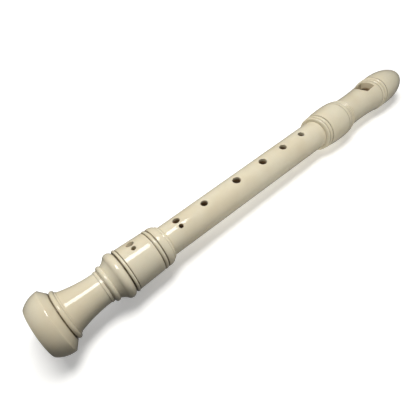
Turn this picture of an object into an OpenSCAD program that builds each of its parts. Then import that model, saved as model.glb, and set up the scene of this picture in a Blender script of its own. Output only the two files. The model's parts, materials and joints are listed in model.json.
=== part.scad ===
// Soprano recorder in three joints: foot, middle and head.
// Millimetres. +X runs along the tube from the bell to the beak, +Z is the finger-hole side,
// and -Y is the side of the small hole of each pair. The bell touches z = 0.

/* [Overall] */
// Length from the bell's end to the beak's tip
total_len = 323; // [322:0.5:324]
// Diameter over the bell, which is the widest point
bell_d = 34.4; // [33.8:0.1:34.8]
// Foot turned about the tube, towards +Y
foot_turn = 18; // [0:1:30]
// Head turned about the tube, towards +Y
head_turn = 11; // [0:1:20]

/* [Foot joint] */
// Length of the foot, bell end to socket end
foot_len = 74; // [73.8:0.1:74.2]
// Smallest diameter of the neck
neck_d = 17.6; // [17:0.1:18.2]
// Diameter over the large round ring
torus_d = 27; // [26.4:0.1:27.6]
// Barrel diameter beside the large ring
barrel_d1 = 25; // [24.6:0.1:25.4]
// Barrel diameter beside the end rings
barrel_d2 = 24.2; // [23.8:0.1:24.4]
// Depth of the socket for the lower tenon
foot_socket_depth = 14.6; // [14.2:0.1:15]

/* [Middle joint] */
// Tube diameter at the foot end
tube_d1 = 18.5; // [18.2:0.1:18.8]
// Tube diameter at the head end
tube_d2 = 20.7; // [20.4:0.1:21]
// Lower tenon diameter
tenon_low_d = 15.4; // [15.2:0.1:15.6]
// Upper tenon diameter
tenon_up_d = 17.2; // [17:0.1:17.4]
// Length of the lower tenon
tenon_low_len = 14; // [13:0.1:14]
// Length of the upper tenon
tenon_up_len = 24; // [22:0.5:24]
// Bore diameter at the foot end
bore_d1 = 10.2; // [10:0.1:10.4]
// Bore diameter at the head end
bore_d2 = 13; // [12.8:0.1:13.2]

/* [Tone holes] */
// First finger hole, nearest the head
hole1_d = 4.4; // [4:0.1:4.8]
// Second finger hole
hole2_d = 5; // [4.6:0.1:5.4]
// Third finger hole
hole3_d = 5.4; // [5:0.1:5.8]
// Fourth finger hole
hole4_d = 5.3; // [4.9:0.1:5.7]
// Fifth finger hole
hole5_d = 4.4; // [4:0.1:4.8]
// Sixth pair, large hole
pair6_big = 4.2; // [3.8:0.1:4.4]
// Sixth pair, small hole
pair6_small = 2.7; // [2.4:0.1:2.9]
// Seventh pair, large hole
pair7_big = 4.4; // [4:0.1:4.5]
// Seventh pair, small hole
pair7_small = 2.6; // [2.4:0.1:2.8]
// Thumb hole at the back
thumb_d = 5; // [4.6:0.1:5.4]
// Width of the bevel round each hole
hole_bevel = 0.3; // [0.2:0.05:0.4]

/* [Head joint] */
// Diameter over the bulge
bulge_d = 27.8; // [27.4:0.1:28.2]
// Smallest diameter between the bulge and the window
waist_d = 22; // [21.8:0.1:22.4]
// Diameter over the pair of rings below the beak
beak_ring_d = 26.4; // [26:0.1:26.6]
// Head bore diameter
head_bore_d = 13.2; // [13:0.1:13.3]
// Width of the window and the windway
window_w = 11.2; // [10.6:0.1:11.6]
// Length of the window along the tube
window_len = 4.2; // [3.8:0.1:4.6]
// Height of the windway
windway_h = 1.1; // [1:0.05:1.3]

/* [Foot liner] */
// Bore diameter of the liner
liner_bore_d = 9.6; // [9.4:0.1:9.8]
// Outside diameter of the liner's tube
liner_d = 12.8; // [12.6:0.1:13]
// Diameter of the liner's end flange
flange_d = 21; // [20.6:0.1:21.4]

/* [Fits] */
// Radial clearance between a tenon and its socket
tenon_gap = 0.05; // [0.03:0.01:0.08]
// Hairline left between two joints at a shoulder
seam = 0.1; // [0.05:0.05:0.2]
// Radial bite of a pressed piece
press_bite = 0.02; // [0.01:0.01:0.03]

/* [Hidden] */
$fn = 72;
far = 40;
plastic = [0.89, 0.86, 0.74];
plastic_inner = [0.86, 0.83, 0.72];
axis_h = bell_d / 2;
bell_r = bell_d / 2;
neck_r = neck_d / 2;
torus_r = torus_d / 2;
bulge_r = bulge_d / 2;
waist_r = waist_d / 2;
beak_ring_r = beak_ring_d / 2;
head_bore_r = head_bore_d / 2;
liner_r = liner_d / 2;
flange_r = flange_d / 2;

// Foot stations along the tube
crest_x = 8.6;
bell_edge_r = 13.6;
shoulder_x = 11.6;
shoulder_r = 13.5;
ring1_x = 13.1;
ring1_r = 13.5;
ring1_w = 2.2;
ring1_groove = 1.2;
neck_x = 15;
neck_start_r = 11.45;
neck_min_x = 33.4;
band_x = 35;
band_h = 0.4;
ring2_x = 36.8;
ring2_r = 10.5;
ring2_w = 2.8;
torus_slope = [[9.9, 38.3], [10.9, 39.9], [11.55, 40.6]];
torus_x = 43.6;
torus_w = 5.8;
ring4_x = 47.55;
ring4_r = 12.95;
ring4_w = 1.6;
barrel_x = 48.4;
barrel_end = 64.8;
ring5_x = 66.4;
ring5_w = 2.2;
ring5_groove = 0.7;
end_groove = 0.8;
end_ring_x = 69.2;
end_ring_round = 5.55;
lip_ring_x = foot_len - 1.4;
lip_ring_r = 10.7;
lip_ring_w = 2.8;
hole7_x = 56;
liner_len = 50;
flange_t = 2;
core_r = 10.2;
core_taper_x = 12;
core_end_x = 22;
foot_bore_r = bore_d1 / 2;
neck_round = arch_radius(neck_min_x - neck_x, neck_start_r - neck_r);
bell_round = arch_radius(crest_x, bell_r - bell_edge_r);

// Middle stations
middle_x = foot_len + seam;
head_x = 211.5;
middle_end = head_x - seam;
tenon_low_x = middle_x - tenon_low_len;
tenon_up_x = middle_end + tenon_up_len;
hole_x = [193.7, 174.4, 154.3, 130.5, 103.9];
hole_d = [hole1_d, hole2_d, hole3_d, hole4_d, hole5_d];
hole6_x = 84.2;
thumb_x = 202.5;
pair6_turn = [-9.6, 20.2];
pair7_turn = [-4.2, 16];
tenon_chamfer = 0.5;
grease_depth = 0.3;
grease_w = 1.4;

// Head stations
socket_end = tenon_up_x + 1.1;
socket_r = tenon_up_d / 2 + tenon_gap;
lip1_x = 212.5;
lip1_r = 12.65;
lip1_w = 2;
lip_groove_r = 12.05;
lip2_x = 215.2;
lip2_r = 12.95;
lip2_w = 3.2;
lip2_groove_r = 12.45;
bulge_start = 216.8;
bulge_start_r = 13.05;
bulge_x = 232;
bulge_end = 235.5;
bulge_rim_x = 239.4;
bulge_rim_r = 13.35;
groove_deep = 0.5;
bulge_round = arch_radius(bulge_x - bulge_start, bulge_r - bulge_start_r);
fine_x = [240.4, 242.7, 245];
fine_r = [13.3, 12.7, 12.1];
fine_w = 1.7;
flare_start = 246.4;
waist_x = 258;
flare_end = 284.3;
flare_r = 12.5;
flare_round = arch_radius(flare_end - waist_x, flare_r - waist_r);
rim_round = arch_radius(bulge_rim_x - bulge_end, bulge_r - 0.1 - bulge_rim_r);
beak_rings = [286, 289.6];
beak_ring_w = 2.7;
beak_groove = 1.3;
beak_x = 291.4;
beak_start_r = 12.9;
beak_r = 13.3;
nose_x = 298;
nose_len = 29;
tip_round = 1.5;
tip_lean = 120;
nose_angle = acos((total_len - tip_round / 2 - nose_x) / nose_len);
tip_r = beak_r * sin(nose_angle) - tip_round * sin(tip_lean);
beak_round = arch_radius(nose_x - beak_x, beak_r - beak_start_r);
window_x = 277.6;
block_x = window_x + window_len;
edge_z = head_bore_r + 0.25;
ramp_x = 269.5;
ramp_z = 11.6;
roof_z = head_bore_r + 0.2;
windway_arc = 12;
block_recess = 0.4;
lip_round = 70;
lip_cut_x = total_len + 14.7;
lip_cut_z = -1.1;

// Puts shapes drawn up the Z axis along the tube's axis.
module along_tube() {
    translate([-total_len / 2, 0, axis_h])
        rotate([0, 90, 0])
            children();
}

// Turns a joint about the tube's axis.
module about_tube(turn) {
    translate([0, 0, axis_h])
        rotate([turn, 0, 0])
            translate([0, 0, -axis_h])
                children();
}

// Puts shapes drawn about the X axis, from the bell's end, in place.
module on_tube() {
    translate([-total_len / 2, 0, axis_h])
        children();
}

// Solid turned from an outline of [radius, station] points.
module turned(outline) {
    along_tube()
        rotate_extrude()
            polygon(outline);
}

module rod(x1, x2, r) {
    along_tube()
        translate([0, 0, x1])
            cylinder(r = r, h = x2 - x1);
}

module cone(x1, x2, r1, r2) {
    along_tube()
        translate([0, 0, x1])
            cylinder(r1 = r1, r2 = r2, h = x2 - x1);
}

// Cutter for one radial hole with a bevelled mouth. Surface radius is r.
module tone_hole(x, d, turn, r) {
    on_tube()
        translate([x, 0, 0])
            rotate([turn, 0, 0]) {
                cylinder(d = d, h = far);
                translate([0, 0, r - hole_bevel])
                    cylinder(d1 = d, d2 = d + 4 * hole_bevel, h = 2 * hole_bevel);
            }
}

// Radius of an arch that drops by d over a span s, level at its far end.
function arch_radius(s, d) = (s * s + d * d) / (2 * d);

// Outline points on a round of radius q about [r, x], from angle a1 to a2.
function arc(x, r, q, a1, a2, n) = [
    for (i = [0 : n])
        let (a = a1 + (a2 - a1) * i / n)
            [r + q * sin(a), x - q * cos(a)]
];

// Outline points of a straight stretch at radius r.
function flat(r, x1, x2) = [[r, x1], [r, x2]];

// Half-round bead of width w, with its top at radius r.
function bead(x, r, w, a, n) = arc(x, r - w / 2, w / 2, a, 180 - a, n);

// Outline points that swell to radius r at station x.
function dome(x, r, q, x1, x2, n) = [
    for (i = [0 : n])
        let (t = x1 + (x2 - x1) * i / n)
            [r - q + sqrt(q * q - (t - x) * (t - x)), t]
];

// Outline points that narrow to radius r at station x.
function cove(x, r, q, x1, x2, n) = [
    for (i = [0 : n])
        let (t = x1 + (x2 - x1) * i / n)
            [r + q - sqrt(q * q - (t - x) * (t - x)), t]
];

// Outline points of the beak, an ellipse that stops short of the tip.
function nose(n) = [
    for (i = [0 : n])
        let (a = 90 - (90 - nose_angle) * i / n)
            [beak_r * sin(a), nose_x + nose_len * cos(a)]
];

function tube_r(x) = (tube_d1 + (tube_d2 - tube_d1) * (x - middle_x) / (middle_end - middle_x)) / 2;

function barrel_r(x) = (barrel_d1 + (barrel_d2 - barrel_d1) * (x - barrel_x) / (barrel_end - barrel_x)) / 2;

// Outline of the foot as [radius, station], from the bell's end to the socket's end.
foot_outline = concat(
    [[0, 0], [bell_edge_r, 0]],
    dome(crest_x, bell_r, bell_round, 0.3, crest_x, 10),
    [[shoulder_r, shoulder_x]],
    flat(ring1_r - ring1_groove, shoulder_x + 0.2, shoulder_x + 0.35),
    bead(ring1_x, ring1_r, ring1_w, 15, 8),
    [[neck_start_r + 0.5, neck_x - 0.7], [neck_start_r + 0.4, neck_x - 0.1]],
    cove(neck_min_x, neck_r, neck_round, neck_x, neck_min_x, 14),
    flat(neck_r + band_h, neck_min_x + 0.15, band_x - 0.15),
    [[neck_r + 0.1, band_x]],
    arc(ring2_x, ring2_r - ring2_w / 2, ring2_w / 2, 5, 150, 8),
    torus_slope,
    arc(torus_x, torus_r - torus_w / 2, torus_w / 2, 25, 168, 14),
    [[ring4_r - 1.6, ring4_x - 0.95]],
    bead(ring4_x, ring4_r, ring4_w, -20, 7),
    [[ring4_r - 0.9, barrel_x - 0.05], [barrel_d1 / 2, barrel_x + 0.4], [barrel_d2 / 2, barrel_end]],
    flat(barrel_d2 / 2 - ring5_groove, barrel_end + 0.2, barrel_end + 0.5),
    bead(ring5_x, barrel_d2 / 2 + 0.2, ring5_w, 20, 8),
    flat(barrel_d2 / 2 - end_groove, ring5_x + 1.15, ring5_x + 1.4),
    dome(end_ring_x, barrel_d2 / 2, end_ring_round, 68, 72.1, 8),
    arc(lip_ring_x, lip_ring_r - lip_ring_w / 2, lip_ring_w / 2, 75, 170, 6),
    [[lip_ring_r - lip_ring_w / 2 + 0.1, foot_len], [0, foot_len]]
);

// Hollow behind the liner's flange, which keeps the bell's wall even.
bell_hollow = [
    [0, -1],
    [flange_r, -1],
    [flange_r, flange_t],
    [core_r, flange_t],
    [core_r, core_taper_x],
    [liner_r, core_end_x],
    [0, core_end_x]
];

module foot_joint() {
    color(plastic)
        about_tube(-foot_turn)
            difference() {
                turned(foot_outline);
                turned(bell_hollow);
                rod(core_end_x - 1, liner_len, liner_r);
                rod(liner_len - 1, foot_len, foot_bore_r);
                rod(foot_len - foot_socket_depth, foot_len + 1, tenon_low_d / 2 + tenon_gap);
                tone_hole(hole7_x, pair7_big, pair7_turn[0], barrel_r(hole7_x));
                tone_hole(hole7_x, pair7_small, pair7_turn[1], barrel_r(hole7_x));
            }
}

module foot_liner() {
    color(plastic_inner)
        difference() {
            union() {
                rod(0, liner_len, liner_r + press_bite);
                rod(0, flange_t, flange_r + press_bite);
            }
            rod(-1, liner_len + 1, liner_bore_d / 2);
        }
}

middle_outline = [
    [0, tenon_low_x],
    [tenon_low_d / 2 - tenon_chamfer, tenon_low_x],
    [tenon_low_d / 2, tenon_low_x + tenon_chamfer],
    [tenon_low_d / 2, middle_x],
    [tube_d1 / 2 - 0.3, middle_x],
    [tube_d1 / 2, middle_x + 0.3],
    [tube_d2 / 2, middle_end - 0.3],
    [tube_d2 / 2 - 0.3, middle_end],
    [tenon_up_d / 2, middle_end],
    [tenon_up_d / 2, tenon_up_x - tenon_chamfer],
    [tenon_up_d / 2 - tenon_chamfer, tenon_up_x],
    [0, tenon_up_x]
];

module middle_joint() {
    color(plastic)
        difference() {
            turned(middle_outline);
            cone(tenon_low_x, tenon_up_x, bore_d1 / 2, bore_d2 / 2);
            grease_groove(tenon_low_x + 4, tenon_low_d / 2);
            grease_groove(tenon_up_x - 5, tenon_up_d / 2);
            grease_groove(tenon_up_x - 9, tenon_up_d / 2);
            for (i = [0 : len(hole_x) - 1])
                tone_hole(hole_x[i], hole_d[i], 0, tube_r(hole_x[i]));
            tone_hole(hole6_x, pair6_big, pair6_turn[0], tube_r(hole6_x));
            tone_hole(hole6_x, pair6_small, pair6_turn[1], tube_r(hole6_x));
            tone_hole(thumb_x, thumb_d, 180, tube_r(thumb_x));
        }
}

module grease_groove(x, r) {
    difference() {
        rod(x, x + grease_w, r + 1);
        rod(x - 1, x + grease_w + 1, r - grease_depth);
    }
}

// Outline of the head as [radius, station], from the socket's mouth to the beak's tip.
head_outline = concat(
    [[0, head_x], [lip1_r - 0.95, head_x]],
    arc(lip1_x, lip1_r - lip1_w / 2, lip1_w / 2, 8, 150, 7),
    flat(lip_groove_r, lip1_x + 1.1, lip1_x + 1.35),
    arc(lip2_x, lip2_r - lip2_w / 2, lip2_w / 2, 40, 140, 7),
    [[lip2_groove_r, bulge_start - 0.2]],
    dome(bulge_x, bulge_r, bulge_round, bulge_start, bulge_end, 12),
    flat(bulge_r - groove_deep, bulge_end + 0.2, bulge_end + 0.5),
    dome(bulge_end, bulge_r - 0.1, rim_round, bulge_end + 0.7, bulge_rim_x, 5),
    [[fine_r[0] - 0.9, bulge_rim_x + 0.05]],
    bead(fine_x[0], fine_r[0], fine_w, 8, 8),
    bead(fine_x[1], fine_r[1], fine_w, 8, 8),
    bead(fine_x[2], fine_r[2], fine_w, 8, 8),
    cove(waist_x, waist_r, flare_round, flare_start, flare_end, 16),
    [[beak_ring_r - 1.2, flare_end + 0.15]],
    bead(beak_rings[0], beak_ring_r, beak_ring_w, 12, 9),
    flat(beak_ring_r - beak_groove, beak_rings[0] + 1.5, beak_rings[0] + 2.1),
    bead(beak_rings[1], beak_ring_r, beak_ring_w, 12, 9),
    [[beak_ring_r - 1.2, beak_x - 0.25]],
    dome(nose_x, beak_r, beak_round, beak_x, nose_x - 1, 4),
    nose(14),
    arc(total_len - tip_round, tip_r, tip_round, tip_lean + 5, 180, 5),
    [[0, total_len]]
);

// Cutter for the hollow below the beak, where the lip rests.
module lip_cut() {
    on_tube()
        translate([lip_cut_x, far / 2, lip_cut_z - lip_round])
            rotate([90, 0, 0])
                cylinder(r = lip_round, h = far, $fn = 180);
}

// Cutter for the window and the ramp that rises from the edge towards the foot.
module window_cut() {
    on_tube()
        translate([0, window_w / 2, 0])
            rotate([90, 0, 0])
                linear_extrude(window_w)
                    polygon([
                        [window_x, 1],
                        [window_x, edge_z],
                        [ramp_x, ramp_z],
                        [ramp_x, far / 2],
                        [block_x, far / 2],
                        [block_x, 1]
                    ]);
}

// Curved air slot over the block, from the window to the tip.
module windway() {
    on_tube()
        intersection() {
            translate([block_x, -window_w / 2, 0])
                cube([far * 2, window_w, far]);
            translate([block_x - 1, 0, roof_z - windway_arc])
                rotate([0, 90, 0])
                    difference() {
                        cylinder(r = windway_arc, h = far * 2);
                        translate([0, 0, -1])
                            cylinder(r = windway_arc - windway_h, h = far * 2 + 2);
                    }
        }
}

module head_joint() {
    color(plastic)
        about_tube(-head_turn)
            difference() {
                turned(head_outline);
                rod(head_x - 1, socket_end, socket_r);
                rod(socket_end - 1, total_len + 1, head_bore_r);
                windway();
                window_cut();
                lip_cut();
            }
}

module windway_block() {
    color(plastic_inner)
        about_tube(-head_turn)
            difference() {
                rod(block_x, total_len - block_recess, head_bore_r + press_bite);
                windway();
                lip_cut();
            }
}

foot_joint();
foot_liner();
middle_joint();
head_joint();
windway_block();
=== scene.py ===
"""Ivory soprano recorder lying on a pale floor, seen from the bell end."""
import json
import math

import bpy
from mathutils import Matrix, Vector


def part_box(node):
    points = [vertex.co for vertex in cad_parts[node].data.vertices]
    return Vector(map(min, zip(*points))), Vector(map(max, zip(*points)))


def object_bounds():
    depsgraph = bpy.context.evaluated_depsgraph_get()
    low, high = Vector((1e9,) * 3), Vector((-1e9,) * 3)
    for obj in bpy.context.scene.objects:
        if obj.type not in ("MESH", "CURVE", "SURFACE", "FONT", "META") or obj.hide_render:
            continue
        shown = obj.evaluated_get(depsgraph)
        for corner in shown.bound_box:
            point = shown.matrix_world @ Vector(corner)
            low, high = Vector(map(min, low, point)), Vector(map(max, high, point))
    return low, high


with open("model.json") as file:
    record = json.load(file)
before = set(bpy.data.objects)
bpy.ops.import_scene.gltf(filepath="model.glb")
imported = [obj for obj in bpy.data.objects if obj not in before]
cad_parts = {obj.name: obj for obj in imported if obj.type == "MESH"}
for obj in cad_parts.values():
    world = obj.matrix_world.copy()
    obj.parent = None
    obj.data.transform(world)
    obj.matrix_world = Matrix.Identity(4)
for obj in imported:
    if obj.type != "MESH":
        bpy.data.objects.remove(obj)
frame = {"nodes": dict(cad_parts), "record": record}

cad_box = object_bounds()

MM = 0.001

# The tube's axis, the bell's end, the bell's lowest point and the windway block's lower end
bore_mount = next(m for m in frame["record"]["mounts"] if m["name"] == "foot_bore")
axis_y, axis_z = bore_mount["pos_m"][1], bore_mount["pos_m"][2]
foot_x = cad_box[0].x
crest_x = min(frame["nodes"]["foot_joint"].data.vertices, key=lambda v: v.co.z).co.x
block_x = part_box("windway_block")[0].x


# ---------------------------------------------------------------- node helpers

def srgb(r, g, b):
    """Linear colour with alpha from 8-bit screen values."""
    def one(v):
        v /= 255
        return v / 12.92 if v <= 0.04045 else ((v + 0.055) / 1.055) ** 2.4
    return (one(r), one(g), one(b), 1.0)


class Tree:
    """A material's node tree, with short calls for the nodes used here."""

    def __init__(self, name):
        self.mat = bpy.data.materials.new(name)
        self.mat.use_nodes = True
        self.nodes = self.mat.node_tree.nodes
        self.links = self.mat.node_tree.links
        self.shader = next(n for n in self.nodes if n.type == "BSDF_PRINCIPLED")
        self.output = next(n for n in self.nodes if n.type == "OUTPUT_MATERIAL")
        self.coord = self.node("ShaderNodeTexCoord").outputs["Object"]

    def node(self, kind, **values):
        n = self.nodes.new(kind)
        for key, value in values.items():
            setattr(n, key, value)
        return n

    def put(self, socket, value):
        """Links a node's output to the socket, or sets a constant on it."""
        if isinstance(value, bpy.types.NodeSocket):
            self.links.new(value, socket)
        else:
            socket.default_value = value

    def maths(self, operation, a, b, clamp=False):
        n = self.node("ShaderNodeMath", operation=operation, use_clamp=clamp)
        self.put(n.inputs[0], a)
        self.put(n.inputs[1], b)
        return n.outputs[0]

    def vector_maths(self, operation, a, b=(0.0, 0.0, 0.0), result="Vector"):
        n = self.node("ShaderNodeVectorMath", operation=operation)
        self.put(n.inputs[0], a)
        self.put(n.inputs[1], b)
        return n.outputs[result]

    def ramp(self, value, low, high, out_low=0.0, out_high=1.0):
        """Smooth step from out_low to out_high as the value goes from low to high."""
        n = self.node("ShaderNodeMapRange", interpolation_type="SMOOTHSTEP")
        self.put(n.inputs["Value"], value)
        n.inputs["From Min"].default_value = low
        n.inputs["From Max"].default_value = high
        n.inputs["To Min"].default_value = out_low
        n.inputs["To Max"].default_value = out_high
        return n.outputs[0]

    def mix(self, factor, a, b):
        n = self.node("ShaderNodeMix", data_type="RGBA")
        colour_a, colour_b = n.inputs[6], n.inputs[7]
        self.put(n.inputs["Factor"], factor)
        self.put(colour_a, a)
        self.put(colour_b, b)
        return n.outputs[2]

    def noise(self, scale, detail, rough=0.5, coord=None):
        n = self.node("ShaderNodeTexNoise")
        self.put(n.inputs["Vector"], coord or self.coord)
        n.inputs["Scale"].default_value = scale
        n.inputs["Detail"].default_value = detail
        n.inputs["Roughness"].default_value = rough
        return n.outputs["Fac"]

    def bump(self, height, strength, distance):
        n = self.node("ShaderNodeBump")
        self.put(n.inputs["Height"], height)
        n.inputs["Strength"].default_value = strength
        n.inputs["Distance"].default_value = distance
        return n

    def along(self):
        """Place of the shaded point along X."""
        n = self.node("ShaderNodeSeparateXYZ")
        self.put(n.inputs[0], self.coord)
        return n.outputs["X"]

    def radius(self):
        """Distance of the shaded point from the tube's axis."""
        from_axis = self.vector_maths("SUBTRACT", self.coord, (0.0, axis_y, axis_z))
        across = self.vector_maths("MULTIPLY", from_axis, (0.0, 1.0, 1.0))
        return self.vector_maths("LENGTH", across, result="Value")


# ---------------------------------------------------------------- moulded plastic

SHELL_LIGHT, SHELL_SHADE = srgb(226, 218, 194), srgb(219, 208, 181)
INNER_LIGHT, INNER_SHADE = srgb(220, 210, 184), srgb(211, 198, 169)
MOTTLE = 0.25

# Roughness of the two finishes when clean, and what wear and grime add to it
SHELL_ROUGHNESS = 0.06
INNER_ROUGHNESS = 0.28
SMEAR_ROUGHNESS = 0.06
SCRATCH_ROUGHNESS = 0.08
GRIME_ROUGHNESS = 0.25

# Painted shade and grime sit where two walls lie within GROOVE_REACH of each other
GROOVE_SHADE_AND_GRIME = srgb(98, 80, 52)
GROOVE_REACH = 1.1 * MM

# The bore's painted shade starts inside the bell, ends at the windway block and stays off the outer wall
BORE_SHADE = srgb(158, 118, 74)
BORE_SHADE_STRENGTH = 0.75
BORE_SHADE_STARTS, BORE_SHADE_FULL = foot_x + 3 * MM, foot_x + 12 * MM
BORE_SHADE_FADES, BORE_SHADE_ENDS = block_x - 0.8 * MM, block_x + 2.2 * MM
BORE_SHADE_INNER_R, BORE_SHADE_OUTER_R = 7.4 * MM, 8.5 * MM

# Scratches are noise drawn out along the tube
SCRATCH_SCALE = (60.0, 2600.0, 2600.0)

SATIN_NODES = ("foot_liner", "windway_block")
EDGE_ROUND = 0.12 * MM
WELD_REACH = 0.002 * MM
SHARP_ANGLE = math.radians(35)


def painted_bore_shade(t):
    """Strength of the painted shade inside the bore at the shaded point."""
    deep = t.ramp(t.along(), BORE_SHADE_STARTS, BORE_SHADE_FULL)
    before_block = t.ramp(t.along(), BORE_SHADE_FADES, BORE_SHADE_ENDS, 1.0, 0.0)
    near_axis = t.ramp(t.radius(), BORE_SHADE_INNER_R, BORE_SHADE_OUTER_R, BORE_SHADE_STRENGTH, 0.0)
    return t.maths("MULTIPLY", near_axis, t.maths("MULTIPLY", deep, before_block))


def groove_shade_and_grime(t):
    """Amount of painted shade and grime: patchy, and only in the grooves and other narrow hollows."""
    crevice = t.node("ShaderNodeAmbientOcclusion", samples=8, only_local=True)
    crevice.inputs["Distance"].default_value = GROOVE_REACH
    hollow = t.ramp(crevice.outputs["AO"], low=0.35, high=0.92, out_low=1.0, out_high=0.0)
    patches = t.ramp(t.noise(scale=300.0, detail=3.0), low=0.25, high=0.7, out_low=0.6)
    return t.maths("MULTIPLY", hollow, patches, clamp=True)


def ivory_colour(t, light, shade, shade_and_grime):
    """Clouded and faintly mottled ivory, with painted shade and grime in the grooves and painted shade
    in the bore.
    """
    cloud = t.ramp(t.noise(scale=38.0, detail=3.0), low=0.35, high=0.7)
    mottle = t.ramp(t.noise(scale=420.0, detail=2.0), low=0.4, high=0.8, out_high=MOTTLE)
    colour = t.mix(cloud, light, shade)
    colour = t.mix(mottle, colour, shade)
    # Painted shade and grime darken the grooves where ambient occlusion is low
    colour = t.mix(shade_and_grime, colour, GROOVE_SHADE_AND_GRIME)
    # Painted shade darkens the inside of the bore
    return t.mix(painted_bore_shade(t), colour, BORE_SHADE)


def ivory_roughness(t, clean, scratches, shade_and_grime):
    """Roughness of clean plastic, raised by smears, scratches and grime."""
    smear = t.ramp(t.noise(scale=90.0, detail=4.0), low=0.35, high=0.7, out_high=SMEAR_ROUGHNESS)
    scratched = t.ramp(scratches, low=0.5, high=0.75, out_low=clean, out_high=clean + SCRATCH_ROUGHNESS)
    handled = t.maths("ADD", smear, scratched)
    return t.maths("ADD", handled, t.maths("MULTIPLY", shade_and_grime, GRIME_ROUGHNESS))


def ivory(name, light, shade, roughness):
    """Moulded ABS with a soft gloss, a thin clear coat and a little light below the surface."""
    t = Tree(name)
    shade_and_grime = groove_shade_and_grime(t)
    stretch = t.node("ShaderNodeMapping")
    t.put(stretch.inputs["Vector"], t.coord)
    stretch.inputs["Scale"].default_value = SCRATCH_SCALE
    scratches = t.noise(scale=1.0, detail=3.0, rough=0.6, coord=stretch.outputs["Vector"])
    skin = t.bump(t.noise(scale=900.0, detail=2.0), strength=0.1, distance=0.05 * MM)
    scored = t.bump(scratches, strength=0.06, distance=0.02 * MM)
    t.put(scored.inputs["Normal"], skin.outputs["Normal"])

    finish = {
        "Base Color": ivory_colour(t, light, shade, shade_and_grime),
        "Roughness": ivory_roughness(t, roughness, scratches, shade_and_grime),
        "Normal": scored.outputs["Normal"],
        "IOR": 1.54,
        "Coat Weight": 0.4,
        "Coat Roughness": 0.03,
        "Subsurface Weight": 0.1,
        "Subsurface Radius": (1.0, 0.75, 0.45),
        "Subsurface Scale": 1.2 * MM,
    }
    for socket, value in finish.items():
        t.put(t.shader.inputs[socket], value)
    return t.mat


def soften(obj):
    """Rounds the sharp edges of a CAD node without touching its mesh."""
    weld = obj.modifiers.new("weld", "WELD")
    weld.merge_threshold = WELD_REACH
    bevel = obj.modifiers.new("edge_round", "BEVEL")
    bevel.limit_method = "ANGLE"
    bevel.angle_limit = SHARP_ANGLE
    bevel.width = EDGE_ROUND
    bevel.segments = 2


def finish_recorder():
    """Gives the three shells a polished finish and the two inner mouldings a satin one."""
    shell = ivory("ivory_abs", SHELL_LIGHT, SHELL_SHADE, SHELL_ROUGHNESS)
    inner = ivory("ivory_abs_inner", INNER_LIGHT, INNER_SHADE, INNER_ROUGHNESS)
    for name, obj in frame["nodes"].items():
        obj.data.materials.clear()
        obj.data.materials.append(inner if name in SATIN_NODES else shell)
        soften(obj)


# ---------------------------------------------------------------- floor

WHITE = (1.0, 1.0, 1.0, 1.0)
BACKDROP_GLOW = 1.0
FLOOR_SIZE = 8.0
FLOOR_LIGHT, FLOOR_SHADE = srgb(249, 249, 248), srgb(245, 245, 243)
FLOOR_ROUGHNESS = 0.85

# The floor's own glow, by distance from the recorder's middle
FLOOR_GLOW = 0.3
GLOW_STARTS, GLOW_FULL = 0.14, 0.55

# Light from the floor on the recorder, by distance from the bell
BOUNCE = 1.15
BOUNCE_COLOUR = srgb(252, 250, 244)
BOUNCE_STARTS, BOUNCE_FULL = 30 * MM, 110 * MM
BOUNCE_FADES, BOUNCE_FADED = 210 * MM, 320 * MM
BOUNCE_AT_BEAK = 0.4


def resting_slope():
    """Slope of the surface that the bell and the beak both touch."""
    head = frame["nodes"]["head_joint"].data.vertices
    return min(v.co.z / (v.co.x - crest_x) for v in head)


def bounced_light(t):
    """Makes the floor light the recorder: most below the middle, none below the bell."""
    past_foot = t.ramp(t.along(), BOUNCE_STARTS, BOUNCE_FULL, 0.0, BOUNCE)
    below_head = t.ramp(t.along(), BOUNCE_FADES, BOUNCE_FADED, 1.0, BOUNCE_AT_BEAK)
    bounce = t.node("ShaderNodeEmission")
    bounce.inputs["Color"].default_value = BOUNCE_COLOUR
    t.put(bounce.inputs["Strength"], t.maths("MULTIPLY", past_foot, below_head))
    either = t.node("ShaderNodeMixShader")
    t.put(either.inputs[0], t.node("ShaderNodeLightPath").outputs["Is Diffuse Ray"])
    t.put(either.inputs[1], t.shader.outputs[0])
    t.put(either.inputs[2], bounce.outputs[0])
    t.put(t.output.inputs["Surface"], either.outputs[0])


def floor():
    """Plain pale surface under the bell and the beak, which glows to white in the distance."""
    bpy.ops.mesh.primitive_plane_add(size=FLOOR_SIZE, location=(crest_x, 0, 0))
    plane = bpy.context.object
    plane.name = "floor"
    plane.rotation_euler.y = -math.atan(resting_slope())
    plane.visible_glossy = False
    t = Tree("floor_paper")
    tone = t.ramp(t.noise(scale=14.0, detail=4.0), low=0.3, high=0.7)
    t.put(t.shader.inputs["Base Color"], t.mix(tone, FLOOR_SHADE, FLOOR_LIGHT))
    t.shader.inputs["Roughness"].default_value = FLOOR_ROUGHNESS
    recorder_middle = (-crest_x, 0, 0)
    reach = t.vector_maths("DISTANCE", t.coord, recorder_middle, result="Value")
    t.shader.inputs["Emission Color"].default_value = WHITE
    glow = t.ramp(reach, GLOW_STARTS, GLOW_FULL, FLOOR_GLOW, BACKDROP_GLOW)
    t.put(t.shader.inputs["Emission Strength"], glow)
    bounced_light(t)
    plane.data.materials.append(t.mat)


# ---------------------------------------------------------------- lights and camera

AMBIENT = 0.08
WARM_WHITE = (1.0, 0.985, 0.96)
SOFT_WHITE = (1.0, 0.99, 0.97)
NEUTRAL = (0.99, 0.99, 0.99)

# The camera's place from the bell's end on the tube's axis, and the way it points
CAMERA_OFFSET = Vector((26.6, -99.1, 148.4)) * MM
CAMERA_YAW = math.radians(52.45)
CAMERA_PITCH = math.radians(47.76)
CAMERA_ROLL = math.radians(-5.39)
SENSOR_MM = 36.0
LENS_MM = 28.8444
CLIP_START = 0.01


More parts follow.
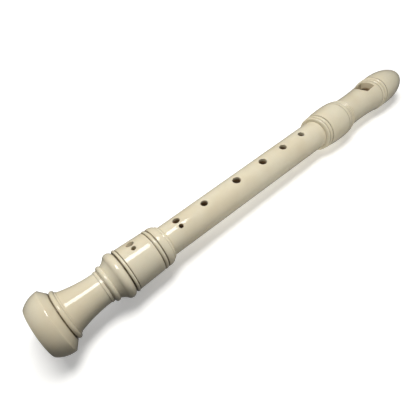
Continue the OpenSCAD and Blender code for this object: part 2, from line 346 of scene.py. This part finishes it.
def area_light(name, place, aim, size, power, colour, glossy=False):
    """Rectangular lamp. Only a glossy one shows as a highlight."""
    data = bpy.data.lights.new(name, "AREA")
    data.shape = "RECTANGLE"
    data.size, data.size_y = size
    data.energy = power
    data.color = colour
    lamp = bpy.data.objects.new(name, data)
    bpy.context.collection.objects.link(lamp)
    lamp.visible_glossy = glossy
    lamp.location = place
    lamp.rotation_euler = (Vector(aim) - Vector(place)).to_track_quat("-Z", "Y").to_euler()


def lamps():
    """One ceiling panel that shows in the gloss, and four soft lamps that don't."""
    area_light("ceiling", place=(-0.06, 0.03, 0.45), aim=(-0.06, 0, 0), size=(0.28, 0.15),
               power=1.0, colour=WARM_WHITE, glossy=True)
    area_light("fill", place=(0, 0.05, 0.5), aim=(0, 0, 0), size=(0.25, 0.2),
               power=1.1, colour=WARM_WHITE)
    area_light("window", place=(0.3, -0.45, 0.17), aim=(0.07, 0, 0.015), size=(0.4, 0.2),
               power=0.5, colour=NEUTRAL)
    area_light("front", place=(-0.55, -0.1, 0.45), aim=(0.05, 0, 0), size=(0.3, 0.3),
               power=0.15, colour=SOFT_WHITE)
    area_light("back", place=(0, 0.6, 0.5), aim=(0, 0, 0), size=(0.6, 0.3),
               power=1.0, colour=SOFT_WHITE)


def studio_world():
    """Faint ambient light, and white behind the floor's edge where the camera sees it."""
    world = bpy.data.worlds.new("studio")
    world.use_nodes = True
    nodes, links = world.node_tree.nodes, world.node_tree.links
    background = nodes["Background"]
    background.inputs["Color"].default_value = WHITE
    path = nodes.new("ShaderNodeLightPath")
    strength = nodes.new("ShaderNodeMapRange")
    strength.inputs["To Min"].default_value = AMBIENT
    strength.inputs["To Max"].default_value = BACKDROP_GLOW
    links.new(path.outputs["Is Camera Ray"], strength.inputs["Value"])
    links.new(strength.outputs["Result"], background.inputs["Strength"])
    bpy.context.scene.world = world
    bpy.context.scene.view_settings.view_transform = "Standard"


def camera():
    """Looks down the recorder from beside and above the foot."""
    flat = math.cos(CAMERA_PITCH)
    forward = Vector((flat * math.cos(CAMERA_YAW), flat * math.sin(CAMERA_YAW), -math.sin(CAMERA_PITCH)))
    right = forward.cross(Vector((0, 0, 1))).normalized()
    up = right.cross(forward)
    rolled_right = right * math.cos(CAMERA_ROLL) + up * math.sin(CAMERA_ROLL)
    rolled_up = up * math.cos(CAMERA_ROLL) - right * math.sin(CAMERA_ROLL)
    turn = Matrix((rolled_right, rolled_up, -forward)).transposed()
    place = Vector((foot_x, axis_y, axis_z)) + CAMERA_OFFSET
    data = bpy.data.cameras.new("camera")
    data.sensor_width = SENSOR_MM
    data.lens = LENS_MM
    data.clip_start = CLIP_START
    cam = bpy.data.objects.new("camera", data)
    bpy.context.collection.objects.link(cam)
    cam.matrix_world = Matrix.Translation(place) @ turn.to_4x4()
    bpy.context.scene.camera = cam


finish_recorder()
floor()
lamps()
studio_world()
camera()
